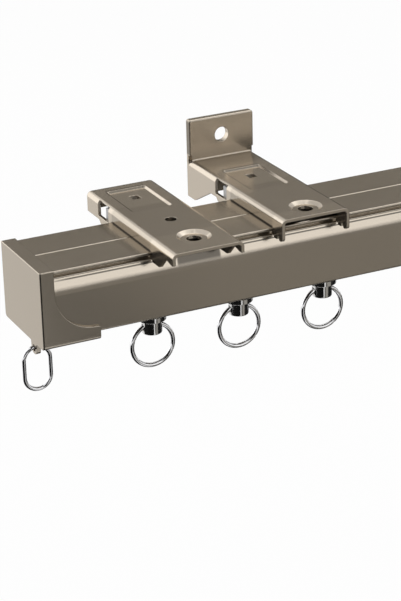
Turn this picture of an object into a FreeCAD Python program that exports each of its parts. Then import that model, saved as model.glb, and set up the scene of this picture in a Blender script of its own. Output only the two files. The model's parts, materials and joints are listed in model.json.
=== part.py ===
import FreeCAD, Part
import math
import os
import Sketcher

# Curtain track with a ceiling bracket, a wall bracket, end caps and three ring carriers.
# Frame: X along the track, -Y to the room, +Y to the wall, +Z up.
# The origin is the centre of the wall bracket's screw hole, on the face that meets the wall.

doc = FreeCAD.newDocument("curtain_track")
sheet = doc.addObject("Spreadsheet::Sheet", "sizes")

drivingSizes = {
    # rail, heights counted down from the top of its deck
    "rail_length": 196.8,
    "deck_width": 30.0,
    "deck_edge": 0.9,
    "deck_wall": 1.6,
    "undercut_height": 1.5,
    "undercut_depth": 2.8,
    "shoulder_lip": 1.6,
    "shoulder_drop": 4.4,
    "shoulder_round": 8.0,
    "rib_drop": 0.5,
    "rail_height": 22.2,
    "rail_wall": 1.4,
    "floor_wall": 1.6,
    "slot_width": 5.4,
    "groove_width": 0.6,
    "groove_depth": 0.22,
    "floor_round": 0.8,
    "edge_round": 0.4,
    "inner_round": 0.35,
    # end caps
    "cap_wall": 1.6,
    "cap_skin": 0.8,
    "cap_top_skin": 0.48,
    "cap_fit": 0.05,
    "cap_leaf": 4.6,
    "cap_foot": 18.9,
    "cap_foot_rise": 3.9,
    "cap_sole": 2.35,
    "cap_curve": 13.0,
    "cap_toe_round": 0.8,
    "cap_ledge": 3.0,
    "cap_corner": 1.3,
    "cap_edge": 0.25,
    "plug_reach": 9.0,
    "plug_wall": 1.5,
    "plug_fit": 0.2,
    # end ring and its lug
    "lug_center": 3.6,
    "lug_thick": 1.4,
    "lug_width": 3.8,
    "lug_drop": 7.4,
    "lug_bore": 2.3,
    "lug_flare": 1.0,
    "link_width": 10.0,
    "link_height": 15.6,
    "link_wire": 1.3,
    "link_play": 0.15,
    # brackets
    "bracket_width": 23.8,
    "sheet_thick": 1.0,
    "bracket_rise": 4.3,
    "bracket_bend": 1.8,
    "ceiling_bracket_at": 36.7,
    "wall_bracket_at": 78.4,
    "wall_reach": 46.2,
    "skirt_drop": 2.2,
    "strap_drop": 3.4,
    "hook_drop": 3.0,
    "hook_clear": 0.25,
    "nib_reach": 1.3,
    "nib_thick": 1.0,
    # brackets, lengths past the deck's front or rear edge
    "ceiling_reach_front": 15.1,
    "ceiling_reach_back": 20.4,
    "wall_reach_front": 5.8,
    "strap_reach": 8.5,
    "hook_reach": 5.6,
    "window_front": 2.2,
    "window_back": 10.2,
    "window_top": 3.2,
    "window_bottom": 1.1,
    "window_lean": 2.0,
    "window_over": 3.0,
    "tab_at": 9.4,
    "gusset_start": 14.0,
    # brackets, pressed and cut forms
    "foot_width": 2.8,
    "foot_round": 1.3,
    "notch_rise": 2.4,
    "lobe_round": 1.4,
    "lobe_slope": 4.4,
    "front_lip": 1.6,
    "lip_drop": 0.6,
    "window_round": 0.4,
    "recess_width": 13.7,
    "recess_front": 9.0,
    "recess_back": 30.2,
    "recess_depth": 0.6,
    "recess_corner": 1.0,
    "recess_slope": 50.0,
    "recess_under": 0.3,
    "tab_width": 3.0,
    "tab_length": 3.6,
    "tab_drop": 1.1,
    "hole_shift": 0.7,
    "small_hole": 3.7,
    "small_hole_at": 2.4,
    "dish_width": 10.8,
    "dish_depth": 0.9,
    "dish_flank": 1.5,
    "dish_wall": 0.4,
    "screw_hole": 4.8,
    "ceiling_dish_at": 18.6,
    "wall_dish_at": 12.7,
    "wall_plate_height": 18.5,
    "wall_plate_sheet": 1.2,
    "wall_plate_round": 0.8,
    "wall_plate_edge": 0.45,
    "wall_plate_bend": 0.5,
    "wall_hole": 5.1,
    "wall_hole_height": 12.0,
    "gusset_drop": 8.4,
    "gusset_toe": 5.4,
    "gusset_round": 2.0,
    "relief_width": 0.8,
    "relief_height": 1.9,
    # lock slides
    "lock_length": 6.6,
    "lock_clear": 0.3,
    "lock_gap": 0.3,
    "lock_step": 0.6,
    "lock_step_at": 3.2,
    "lock_round": 0.3,
    "lock_bore": 2.9,
    "lock_bore_height": 0.4,
    "lock_bore_depth": 4.4,
    "spring_width": 2.4,
    "spring_wire": 0.35,
    "spring_pitch": 1.1,
    # carriers
    "first_carrier": 42.7,
    "carrier_pitch": 30.7,
    "tyre_width": 15.7,
    "tyre_thick": 5.3,
    "tyre_crown": 2.25,
    "wheel_gap": 0.25,
    "wheel_track": 12.9,
    "race_outer": 9.9,
    "race_thick": 4.0,
    "race_gap": 1.8,
    "race_rim": 0.7,
    "ball_width": 1.24,
    "ball_fit": 0.05,
    "axle_width": 4.0,
    "axle_fit": 0.03,
    "axle_head": 7.2,
    "axle_head_reach": 1.6,
    "axle_dish": 5.4,
    "axle_dish_depth": 0.9,
    "collar_width": 10.2,
    "collar_length": 6.0,
    "spacer_wall": 1.0,
    "leg_spread": 13.2,
    "leg_wide": 2.1,
    "leg_deep": 3.0,
    "leg_elbow": 4.6,
    "leg_bend": 2.2,
    "leg_round": 0.6,
    "yoke_drop": 16.0,
    "yoke_floor": 1.5,
    "yoke_disc": 9.3,
    "sleeve_top": 5.4,
    "sleeve_height": 5.6,
    "sleeve_wall": 0.65,
    "stud_head": 6.6,
    "stud_head_rise": 2.0,
    "stud_neck": 3.7,
    "stud_fit": 0.06,
    "eye_gap": 0.3,
    "eye_width": 6.5,
    "eye_drop": 4.7,
    "eye_round": 0.4,
    "eye_bore": 2.1,
    "ring_width": 15.7,
    "ring_wire": 1.45,
    "ring_drop": 1.05,
}

for row, (alias, value) in enumerate(drivingSizes.items(), 1):
    sheet.set("A%d" % row, alias)
    sheet.set("B%d" % row, str(value))
    sheet.setAlias("B%d" % row, alias)
doc.recompute()


class Size:
    """A length with its value and the sheet expression that gives it."""

    def __init__(self, value, text):
        self.value = value
        self.text = text

    def join(self, other, sign, value):
        return Size(value, "(%s %s %s)" % (self.text, sign, textOf(other)))

    def __add__(self, other):
        return self.join(other, "+", self.value + valueOf(other))

    def __sub__(self, other):
        return self.join(other, "-", self.value - valueOf(other))

    def __mul__(self, other):
        return self.join(other, "*", self.value * valueOf(other))

    def __truediv__(self, other):
        return self.join(other, "/", self.value / valueOf(other))

    def __radd__(self, other):
        return Size(valueOf(other) + self.value, "(%s + %s)" % (textOf(other), self.text))

    def __rsub__(self, other):
        return Size(valueOf(other) - self.value, "(%s - %s)" % (textOf(other), self.text))

    def __neg__(self):
        return Size(-self.value, "(0 - %s)" % self.text)


def valueOf(size):
    return size.value if isinstance(size, Size) else float(size)


def textOf(size):
    return size.text if isinstance(size, Size) else repr(float(size))


def size(alias):
    return Size(float(sheet.get(alias)), "<<sizes>>." + alias)


def bind(target, path, wanted):
    target.setExpression(path, textOf(wanted))


def place(target, x, y, z, turn=0):
    """Puts a piece at a point of the rail's own frame, turned about Z."""
    target.Placement = FreeCAD.Placement(FreeCAD.Vector(), FreeCAD.Rotation(FreeCAD.Vector(0, 0, 1), turn))
    bind(target, "Placement.Base.x", x - homeX)
    bind(target, "Placement.Base.y", y - homeY)
    bind(target, "Placement.Base.z", z - homeZ)


pieces = []


def newBody(name):
    body = doc.addObject("PartDesign::Body", name)
    body.Label = name
    pieces.append(body)
    return body


def newSketch(body, name, plane, offset=None):
    sketch = body.newObject("Sketcher::SketchObject", body.Name + "_" + name)
    origin = [part for part in body.Origin.OriginFeatures if part.Role == plane][0]
    sketch.AttachmentSupport = [(origin, "")]
    sketch.MapMode = "FlatFace"
    if offset is not None:
        bind(sketch, "AttachmentOffset.Base.z", offset)
    return sketch


def addDatums(sketch, datums):
    """Adds constraints, each with the size that drives it."""
    first = sketch.ConstraintCount
    sketch.addConstraint([Sketcher.Constraint(*kind, valueOf(wanted)) for kind, wanted in datums])
    for index, (kind, wanted) in enumerate(datums, first):
        if isinstance(wanted, Size):
            sketch.setExpression("Constraints[%d]" % index, wanted.text)


def pinPoint(geometry, vertex, x, y):
    return [(("DistanceX", -1, 1, geometry, vertex), x), (("DistanceY", -1, 1, geometry, vertex), y)]


def outline(sketch, corners):
    """Closed outline through corners (x, y) or (x, y, radius), each bound to its sizes."""
    points = [FreeCAD.Vector(valueOf(corner[0]), valueOf(corner[1]), 0) for corner in corners]
    radii = [corner[2] if len(corner) > 2 else None for corner in corners]
    count = len(corners)
    entries = []
    exits = []
    for index, point in enumerate(points):
        back = (points[index - 1] - point).normalize()
        ahead = (points[(index + 1) % count] - point).normalize()
        reach = 0
        if radii[index] is not None:
            half = back.getAngle(ahead) / 2
            reach = valueOf(radii[index]) / math.tan(half)
        entries.append(point + back * reach)
        exits.append(point + ahead * reach)
    lines = []
    for index in range(count):
        line = Part.LineSegment(exits[index], entries[(index + 1) % count])
        lines.append(sketch.addGeometry(line, False))
    joins = []
    datums = []
    for index, radius in enumerate(radii):
        before = lines[index - 1]
        after = lines[index]
        x, y = corners[index][0], corners[index][1]
        if radius is None:
            joins.append(Sketcher.Constraint("Coincident", before, 2, after, 1))
            datums += pinPoint(after, 1, x, y)
            continue
        point = points[index]
        back = (entries[index] - point).normalize()
        ahead = (exits[index] - point).normalize()
        half = back.getAngle(ahead) / 2
        centre = point + (back + ahead).normalize() * (valueOf(radius) / math.sin(half))
        start, end = entries[index] - centre, exits[index] - centre
        turnsLeft = (point - points[index - 1]).cross(points[(index + 1) % count] - point).z > 0
        first, last = (start, end) if turnsLeft else (end, start)
        circle = Part.Circle(centre, FreeCAD.Vector(0, 0, 1), valueOf(radius))
        arc = Part.ArcOfCircle(circle, math.atan2(first.y, first.x), math.atan2(last.y, last.x))
        arcId = sketch.addGeometry(arc, False)
        arcIn, arcOut = (1, 2) if turnsLeft else (2, 1)
        mark = sketch.addGeometry(Part.Point(point), True)
        joins.append(Sketcher.Constraint("Tangent", before, 2, arcId, arcIn))
        joins.append(Sketcher.Constraint("Tangent", arcId, arcOut, after, 1))
        joins.append(Sketcher.Constraint("PointOnObject", mark, 1, before))
        joins.append(Sketcher.Constraint("PointOnObject", mark, 1, after))
        datums += pinPoint(mark, 1, x, y)
        datums.append((("Radius", arcId), radius))
    sketch.addConstraint(joins)
    addDatums(sketch, datums)


def circle(sketch, x, y, radius):
    shape = Part.Circle(FreeCAD.Vector(valueOf(x), valueOf(y), 0), FreeCAD.Vector(0, 0, 1), valueOf(radius))
    index = sketch.addGeometry(shape, False)
    addDatums(sketch, pinPoint(index, 3, x, y) + [(("Radius", index), radius)])


def box(sketch, left, right, low, high):
    outline(sketch, [(left, low), (right, low), (right, high), (left, high)])


def pad(body, sketch, length, symmetric=False, reverse=False):
    feature = body.newObject("PartDesign::Pad", sketch.Name + "_pad")
    feature.Profile = sketch
    feature.SideType = "Symmetric" if symmetric else "One side"
    feature.Reversed = reverse
    bind(feature, "Length", length)
    body.Tip = feature
    return feature


def pocket(body, sketch, length=None, symmetric=False, reverse=False):
    feature = body.newObject("PartDesign::Pocket", sketch.Name + "_pocket")
    feature.Profile = sketch
    feature.SideType = "Symmetric" if symmetric else "One side"
    feature.Reversed = reverse
    if length is None:
        feature.Type = "ThroughAll"
    else:
        bind(feature, "Length", length)
    doc.recompute()
    if feature.BaseFeature.Shape.isNull() or "Invalid" in feature.BaseFeature.State:
        raise RuntimeError(feature.BaseFeature.Name + " failed before " + sketch.Name)
    before = feature.BaseFeature.Shape.Volume
    if feature.Shape.isNull() or feature.Shape.Volume >= before - 1e-6:
        raise RuntimeError(sketch.Name + " cuts nothing")
    body.Tip = feature
    return feature


def turned(body, sketch, cut=False, axis="V_Axis"):
    kind = "Groove" if cut else "Revolution"
    feature = body.newObject("PartDesign::" + kind, sketch.Name + "_turned")
    feature.Profile = sketch
    feature.ReferenceAxis = (sketch, [axis])
    feature.Angle = 360
    doc.recompute()
    if cut and feature.Shape.Volume >= feature.BaseFeature.Shape.Volume - 1e-6:
        raise RuntimeError(sketch.Name + " cuts nothing")
    body.Tip = feature
    return feature


def rounded(body, radius, wanted):
    """Fillets the edges of the body for which wanted(edge) is true."""
    doc.recompute()
    base = body.Tip
    names = ["Edge%d" % number for number, edge in enumerate(base.Shape.Edges, 1) if wanted(edge)]
    feature = body.newObject("PartDesign::Fillet", base.Name + "_rounded")
    feature.Base = (base, names)
    bind(feature, "Radius", radius)
    body.Tip = feature
    return feature


def near(first, second):
    return abs(first - valueOf(second)) < 1e-4


# the rail's own frame has x = 0 on the left cap's outer face, y = 0 on the centre line, z = 0 on the deck
homeX = size("wall_bracket_at") + size("bracket_width") / 2
homeY = size("wall_reach")
homeZ = size("wall_hole_height")

halfDeck = size("deck_width") / 2
railBottom = -size("rail_height")
floorTop = railBottom + size("floor_wall")
undercutFloor = -(size("deck_edge") + size("undercut_height"))
neckHalf = halfDeck - size("undercut_depth")
railEnd = size("cap_wall") + size("rail_length")
axleHeight = floorTop + size("wheel_gap") + size("tyre_width") / 2


def makeRail():
    body = newBody("track_profile")
    sketch = newSketch(body, "section", "YZ_Plane")
    groove = size("groove_width") / 2
    inner = halfDeck - size("rail_wall")
    innerNeck = neckHalf - size("rail_wall")
    shoulderTop = undercutFloor - size("rail_wall")
    lipIn = neckHalf + size("shoulder_lip")
    ribLow = undercutFloor - size("rib_drop")
    innerShoulder = undercutFloor - size("shoulder_drop")
    slot = size("slot_width") / 2
    foot = size("floor_round")
    soft = size("inner_round")
    edge = size("edge_round")
    right = [
        (groove, 0),
        (halfDeck, 0, edge),
        (halfDeck, -size("deck_edge"), edge),
        (neckHalf, -size("deck_edge") - size("groove_depth")),
        (neckHalf, undercutFloor),
        (lipIn, undercutFloor, soft),
        (lipIn, ribLow),
        (halfDeck, innerShoulder, size("shoulder_round")),
        (halfDeck, railBottom, foot),
        (slot, railBottom, soft),
        (slot, floorTop, soft),
        (inner, floorTop, soft),
        (inner, innerShoulder, size("rail_wall")),
        (innerNeck, shoulderTop, size("rail_wall")),
        (innerNeck, -size("deck_wall"), soft),
    ]
    left = [(-corner[0],) + corner[1:] for corner in reversed(right)]
    outline(sketch, [(0, -size("groove_depth"))] + right + left)
    pad(body, sketch, size("rail_length"))
    place(body, size("cap_wall"), 0, 0)


def onOutside(edge, half, top, bottom):
    """True for the cap's long outer edges and the outer edge of its leaves."""
    box = edge.BoundBox
    onSide = near(abs(box.YMin), half) and near(abs(box.YMax), half) and box.YLength < 1
    onTop = near(box.ZMin, top) and box.XLength > 1
    return onSide and box.ZMin > valueOf(bottom) + 1e-3 or onTop


def makeCap(name, atRight):
    body = newBody(name)
    top = size("cap_top_skin")
    bottom = railBottom - size("cap_sole")
    toeTop = bottom + size("cap_foot_rise") + size("cap_toe_round")
    half = halfDeck + size("cap_skin")
    fit = size("cap_fit")
    side = newSketch(body, "side", "XZ_Plane")
    outline(side, [
        (0, bottom),
        (size("cap_foot"), bottom),
        (size("cap_foot"), toeTop, size("cap_toe_round")),
        (size("cap_leaf"), toeTop, size("cap_curve")),
        (size("cap_leaf"), top),
        (0, top),
    ])
    pad(body, side, half * 2, symmetric=True)
    rounded(body, size("cap_corner"), lambda edge: near(edge.BoundBox.ZMax, bottom)
            and near(edge.BoundBox.ZMin, bottom) and edge.BoundBox.XLength > 1)

    seat = newSketch(body, "seat", "YZ_Plane", size("cap_wall"))
    box(seat, -halfDeck - fit, halfDeck + fit, railBottom - fit, fit)
    pocket(body, seat, size("cap_foot"), reverse=True)
    gap = newSketch(body, "gap", "YZ_Plane", size("cap_leaf"))
    ledge = half - size("cap_ledge")
    box(gap, -ledge, ledge, bottom - 1, railBottom)
    pocket(body, gap, size("cap_foot"), reverse=True)

    plug = newSketch(body, "plug", "YZ_Plane", size("cap_wall"))
    plugHalf = neckHalf - size("rail_wall") - size("plug_fit")
    plugTop = -size("deck_wall") - size("plug_fit")
    plugBottom = floorTop + size("plug_fit")
    inside = size("plug_wall")
    box(plug, -plugHalf, plugHalf, plugBottom, plugTop)
    box(plug, -plugHalf + inside, plugHalf - inside, plugBottom + inside, plugTop - inside)
    pad(body, plug, size("plug_reach"))

    lug = newSketch(body, "lug", "YZ_Plane", size("lug_center") - size("lug_thick") / 2)
    lugHalf = size("lug_width") / 2
    lugBottom = bottom - size("lug_drop")
    root = bottom + size("cap_sole") / 2
    flare = lugHalf + size("lug_flare")
    outline(lug, [
        (-flare, root),
        (-lugHalf, lugBottom, lugHalf * 0.9),
        (lugHalf, lugBottom, lugHalf * 0.9),
        (flare, root),
    ])
    pad(body, lug, size("lug_thick"))
    hole = newSketch(body, "eye", "YZ_Plane")
    circle(hole, 0, lugBottom + lugHalf, size("lug_bore") / 2)
    pocket(body, hole, size("cap_foot"), reverse=True)
    rounded(body, size("cap_edge"), lambda edge: near(edge.BoundBox.XMax, 0) or onOutside(edge, half, top, bottom))
    place(body, railEnd + size("cap_wall") if atRight else 0, 0, 0, 180 if atRight else 0)
    return lugBottom + lugHalf


def makeLink(name, x, eyeHeight):
    body = newBody(name)
    wire = size("link_wire") / 2
    halfWide = size("link_width") / 2 - wire
    top = size("lug_bore") / 2 - wire - size("link_play")
    bottom = top + size("link_wire") - size("link_height")
    path = newSketch(body, "path", "XZ_Plane")
    outline(path, [
        (-halfWide, bottom, halfWide * 0.98),
        (halfWide, bottom, halfWide * 0.98),
        (halfWide, top, halfWide * 0.98),
        (-halfWide, top, halfWide * 0.98),
    ])
    section = newSketch(body, "section", "XY_Plane", (top + bottom) / 2)
    circle(section, halfWide, 0, wire)
    pipe = body.newObject("PartDesign::AdditivePipe", name + "_pipe")
    pipe.Profile = section
    pipe.Spine = (path, ["Edge%d" % number for number in range(1, 9)])
    body.Tip = pipe
    place(body, x, 0, eyeHeight)


def sideCut(body, name, corners):
    """Cuts an outline of the side view through both walls."""
    sketch = newSketch(body, name, "YZ_Plane")
    outline(sketch, corners)
    pocket(body, sketch, size("bracket_width") * 3, symmetric=True)


def addDish(body, at, top):
    """A dished screw hole pressed into the top plate."""
    shift = size("hole_shift")
    thick = size("sheet_thick")
    rim = size("dish_width") / 2
    floor = rim - size("dish_depth") * size("dish_flank")
    wall = thick * size("dish_wall")
    for name, level, cut in (("dish_under", top - size("dish_depth") - thick, False),
                             ("dish_face", top - size("dish_depth"), True)):
        loft = body.newObject("PartDesign::" + ("SubtractiveCone" if cut else "AdditiveCone"), body.Name + "_" + name)
        bind(loft, "Radius1", floor if cut else floor + wall)
        bind(loft, "Radius2", rim if cut else rim + wall)
        bind(loft, "Height", size("dish_depth"))
        loft.AttachmentSupport = [([part for part in body.Origin.OriginFeatures if part.Role == "XY_Plane"][0], "")]
        loft.MapMode = "FlatFace"
        bind(loft, "AttachmentOffset.Base.x", shift)
        bind(loft, "AttachmentOffset.Base.y", -at)
        bind(loft, "AttachmentOffset.Base.z", level)
        body.Tip = loft
    hole = newSketch(body, "screw_hole", "XY_Plane")
    circle(hole, shift, -at, size("screw_hole") / 2)
    pocket(body, hole, top, reverse=True)


def makeBracket(name, x, front, back, dishAt, wallPlate):
    body = newBody(name)
    thick = size("sheet_thick")
    top = size("bracket_rise")
    half = size("bracket_width") / 2
    lowest = -size("gusset_drop") if wallPlate else -size("strap_drop")
    strap = -size("strap_drop")
    skirt = -size("skirt_drop")
    plan = newSketch(body, "plan", "XY_Plane", lowest)
    box(plan, -half, half, -front, back)
    pad(body, plan, top - lowest)
    bend = size("bracket_bend")
    rounded(body, bend, lambda edge: near(edge.BoundBox.ZMin, top) and edge.BoundBox.YLength > 1
            or not wallPlate and near(edge.BoundBox.YMin, back))
    inside = bend - thick
    hollow = newSketch(body, "hollow", "XY_Plane", lowest)
    rear = [(half - thick, back + 1), (-half + thick, back + 1)] if wallPlate else [
        (half - thick, back - thick, inside), (-half + thick, back - thick, inside)]
    outline(hollow, [(-half + thick, -front - 1), (half - thick, -front - 1)] + rear)
    pocket(body, hollow, top - thick - lowest, reverse=True)
    rounded(body, inside, lambda edge: near(edge.BoundBox.ZMin, top - thick) and edge.BoundBox.YLength > 1
            and edge.BoundBox.XLength < 1)

    hook = halfDeck + size("hook_clear")
    nib = hook - size("nib_reach")
    nibTop = -size("deck_edge") - size("hook_clear")
    nibLow = nibTop - size("nib_thick")
    hookLow = -size("hook_drop")
    strapFront = halfDeck + size("strap_reach")
    low = lowest - 1
    soft = size("window_round")
    toeAt = back - size("gusset_toe")
    tail = [(back + 1, low), (back + 1, skirt)] if not wallPlate else [
        (toeAt, low), (toeAt, lowest), (halfDeck + size("gusset_start"), skirt, size("gusset_round"))]
    lobe = halfDeck + size("hook_reach")
    heel = front - size("foot_width")
    footRound = size("foot_round")
    notch = hookLow + size("notch_rise")
    toe = [(-front - 1, size("lip_drop")), (-front - 1, low)] if not wallPlate else [
        (-front, notch), (-front - 1, notch), (-front - 1, low)]
    nose = [
        (-lobe, hookLow, size("lobe_round")),
        (-lobe - size("lobe_slope"), hookLow + size("lobe_slope"), soft),
        (-front + size("front_lip"), size("lip_drop")),
    ] if not wallPlate else [
        (-heel + size("foot_round") * 0.6, hookLow, soft),
        (-heel, notch, soft),
        (-heel - size("foot_round") * 0.6, hookLow, footRound * 0.5),
        (-front, hookLow, footRound),
    ]
    sideCut(body, "skirt", tail + [
        (strapFront + 1.2, skirt, soft),
        (strapFront, strap, soft),
        (hook, strap, soft),
        (hook, 0),
        (-hook, 0),
        (-hook, nibTop),
        (-nib, nibTop),
        (-nib, nibLow, 0.3),
        (-hook, nibLow - 0.3),
        (-hook, hookLow, 0.3),
    ] + nose + toe)
    nearEnd = halfDeck + size("window_front")
    farEnd = halfDeck + size("window_back")
    upper = newSketch(body, "window_bend", "XZ_Plane", -farEnd)
    bendLow = top - bend
    bendHigh = bendLow + size("window_over")
    for side in (-1, 1):
        outline(upper, [
            ((half - bend) * side, bendLow),
            ((half - bend + size("window_lean")) * side, bendHigh),
            ((half + bend) * side, bendHigh),
            ((half + bend) * side, bendLow),
        ])
    pocket(body, upper, farEnd - nearEnd, reverse=True)
    sideCut(body, "window", [
        (nearEnd, -size("window_bottom"), soft),
        (farEnd, -size("window_bottom"), soft),
        (farEnd, size("window_top"), soft),
        (nearEnd, size("window_top"), soft),
    ])

    recess = size("recess_width") / 2
    press = size("recess_depth")
    under = newSketch(body, "recess_under", "XY_Plane", top - thick - press)
    corner = size("recess_corner")
    ends = size("recess_front"), size("recess_back")
    more = size("recess_under")
    outline(under, [(-recess - more, ends[0] - more, corner), (recess + more, ends[0] - more, corner),
                    (recess + more, ends[1] + more, corner), (-recess - more, ends[1] + more, corner)])
    pad(body, under, press)
    face = newSketch(body, "recess_face", "XY_Plane", top)
    outline(face, [(-recess, ends[0], corner), (recess, ends[0], corner),
                   (recess, ends[1], corner), (-recess, ends[1], corner)])
    pressed = pocket(body, face, press)
    bind(pressed, "TaperAngle", -size("recess_slope"))

    slotHalf = size("tab_width") / 2
    slot = newSketch(body, "tab_slot", "XY_Plane")
    tabAt = halfDeck + size("tab_at")
    box(slot, -slotHalf, slotHalf, tabAt - size("tab_length"), tabAt)
    pocket(body, slot, top, reverse=True)
    tab = newSketch(body, "tab", "XY_Plane", -size("tab_drop"))
    box(tab, -slotHalf, slotHalf, tabAt, tabAt + thick)
    pad(body, tab, top - thick - press + size("tab_drop"))
    if not wallPlate:
        hole = newSketch(body, "small_hole", "XY_Plane")
        circle(hole, size("hole_shift"), -size("small_hole_at"), size("small_hole") / 2)
        pocket(body, hole, top, reverse=True)
    addDish(body, dishAt, top)

    if wallPlate:
        # the plate is the sheet folded back on itself; its rear layer runs down behind the side walls
        layer = size("wall_plate_sheet")
        height = size("wall_plate_height")
        corner = size("wall_plate_round")
        bite = half - size("relief_width")
        reliefTop = top + size("relief_height")
        frontLayer = newSketch(body, "front_layer", "XZ_Plane", -back)
        outline(frontLayer, [
            (-bite, top - thick), (bite, top - thick), (bite, reliefTop), (half, reliefTop),
            (half, height, corner), (-half, height, corner), (-half, reliefTop), (-bite, reliefTop),
        ])
        pad(body, frontLayer, layer * 2)
        rearLayer = newSketch(body, "rear_layer", "XZ_Plane", -back)
        outline(rearLayer, [(-half, lowest), (half, lowest), (half, height, corner), (-half, height, corner)])
        pad(body, rearLayer, layer)
        face = back - layer * 2
        rounded(body, size("wall_plate_edge"), lambda edge: near(edge.BoundBox.YMin, face)
                and near(edge.BoundBox.YMax, face) and edge.BoundBox.ZMin > valueOf(reliefTop) - 1e-3
                and (near(edge.BoundBox.ZMax, height) or edge.BoundBox.ZLength > 1))
        rounded(body, size("wall_plate_bend"), lambda edge: near(edge.BoundBox.YMin, face)
                and near(edge.BoundBox.YMax, face) and near(edge.BoundBox.ZMin, top)
                and near(edge.BoundBox.ZMax, top))
        wallHole = newSketch(body, "wall_hole", "XZ_Plane", -back)
        circle(wallHole, 0, size("wall_hole_height"), size("wall_hole") / 2)
        pocket(body, wallHole, layer * 2, reverse=True)
    place(body, x + half, 0, 0)


lockFront = halfDeck + size("lock_clear")


def makeLock(name, x):
    body = newBody(name)
    gap = size("lock_gap")
    half = size("bracket_width") / 2 - size("sheet_thick") - gap
    top = size("bracket_rise") - size("sheet_thick") - size("recess_depth") - gap
    front = lockFront
    back = front + size("lock_length")
    soft = size("lock_round")
    nibTop = -size("deck_edge") - size("hook_clear")
    side = newSketch(body, "side", "YZ_Plane")
    step = front + size("lock_step_at")
    nibLow = nibTop - size("nib_thick")
    outline(side, [
        (front - size("nib_reach"), nibLow, soft),
        (step, nibLow, soft),
        (step, nibLow + size("lock_step")),
        (back, nibLow + size("lock_step"), soft),
        (back, top, soft),
        (front, top, soft),
        (front, nibTop),
        (front - size("nib_reach"), nibTop),
    ])
    pad(body, side, half * 2, symmetric=True)
    bore = newSketch(body, "spring_bore", "XZ_Plane", -back)
    circle(bore, 0, size("lock_bore_height"), size("lock_bore") / 2)
    pocket(body, bore, size("lock_bore_depth"), reverse=True)
    place(body, x + size("bracket_width") / 2, 0, 0)


def makeSpring(name, x):
    wire = size("spring_wire") / 2
    radius = size("spring_width") / 2 - wire
    start = lockFront + size("lock_length") - size("lock_bore_depth") + wire
    length = halfDeck + size("tab_at") - start - wire
    helix = doc.addObject("Part::Helix", name + "_helix")
    bind(helix, "Pitch", size("spring_pitch"))
    bind(helix, "Height", length)
    bind(helix, "Radius", radius)
    section = doc.addObject("Part::Circle", name + "_section")
    bind(section, "Radius", wire)
    section.Placement = FreeCAD.Placement(FreeCAD.Vector(), FreeCAD.Rotation(FreeCAD.Vector(1, 0, 0), 90))
    bind(section, "Placement.Base.x", radius)
    coil = doc.addObject("Part::Sweep", name)
    coil.Label = name
    coil.Sections = [section]
    coil.Spine = (helix, ["Edge1"])
    coil.Solid = True
    coil.Frenet = True
    pieces.append(coil)
    turn = FreeCAD.Rotation(FreeCAD.Vector(1, 0, 0), -90)
    coil.Placement = FreeCAD.Placement(FreeCAD.Vector(), turn)
    bind(coil, "Placement.Base.x", x + size("bracket_width") / 2 - homeX)
    bind(coil, "Placement.Base.y", start - homeY)
    bind(coil, "Placement.Base.z", size("lock_bore_height") - homeZ)


ballRing = size("race_outer") / 2 - size("race_rim") - size("race_gap") / 4
innerRaceRadius = size("race_outer") / 2 - size("race_rim") - size("race_gap") / 2
wheelY = size("wheel_track") / 2
raceHalf = size("race_thick") / 2


def makeYoke(prefix, x):
    body = newBody(prefix + "_yoke")
    legOut = size("leg_spread") / 2 + size("leg_wide") / 2
    legIn = size("leg_spread") / 2 - size("leg_wide") / 2
    elbow = -size("leg_elbow")
    floorLow = -size("yoke_drop")
    floorHigh = floorLow + size("yoke_floor")
    collar = size("collar_width") / 2
    arch = -collar * 0.66
    front = newSketch(body, "front", "XZ_Plane")
    shoulder = collar * 0.62
    outline(front, [
        (legOut, floorLow, 0.5),
        (legOut, elbow, size("leg_bend")),
        (shoulder, collar * 0.5),
        (-shoulder, collar * 0.5),
        (-legOut, elbow, size("leg_bend")),
        (-legOut, floorLow, 0.5),
    ])
    outline(front, [
        (legIn, floorHigh, 0.5),
        (legIn, elbow - 0.2, 0.8),
        (collar * 0.5, arch, 0.5),
        (-collar * 0.5, arch, 0.5),
        (-legIn, elbow - 0.2, 0.8),
        (-legIn, floorHigh, 0.5),
    ])
    pad(body, front, size("leg_deep"), symmetric=True)
    rounded(body, size("leg_round"), lambda edge: edge.BoundBox.YLength < 1e-4
            and edge.BoundBox.ZMin > valueOf(floorHigh) and edge.BoundBox.ZMax < valueOf(elbow) + 4
            and abs(edge.BoundBox.XMax) > valueOf(shoulder))
    hub = newSketch(body, "hub", "XZ_Plane")
    circle(hub, 0, 0, collar)
    pad(body, hub, size("collar_length"), symmetric=True)
    rounded(body, size("collar_length") * 0.12, lambda edge: near(edge.BoundBox.XLength, collar * 2)
            and edge.BoundBox.YLength < 1e-4)
    plate = newSketch(body, "floor", "XY_Plane", floorLow)
    circle(plate, 0, 0, size("yoke_disc") / 2)
    pad(body, plate, size("yoke_floor"))
    bore = newSketch(body, "axle_bore", "XZ_Plane")
    circle(bore, 0, 0, size("axle_width") / 2)
    pocket(body, bore, size("collar_length") * 2, symmetric=True)
    swivel = newSketch(body, "stud_bore", "XY_Plane", floorLow)
    circle(swivel, 0, 0, size("stud_neck") / 2 + size("stud_fit"))
    pocket(body, swivel, size("yoke_floor"), reverse=True)
    place(body, x, 0, axleHeight)


def makeSleeve(name, x, side):
    body = newBody(name)
    plan = newSketch(body, "plan", "XY_Plane")
    wide = size("leg_wide") / 2
    deep = size("leg_deep") / 2
    wall = size("sleeve_wall")
    outline(plan, [(-wide - wall, -deep - wall, wall), (wide + wall, -deep - wall, wall),
                   (wide + wall, deep + wall, wall), (-wide - wall, deep + wall, wall)])
    box(plan, -wide, wide, -deep, deep)
    pad(body, plan, size("sleeve_height"), reverse=True)
    place(body, x + size("leg_spread") / 2 * side, 0, axleHeight - size("sleeve_top"))


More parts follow.
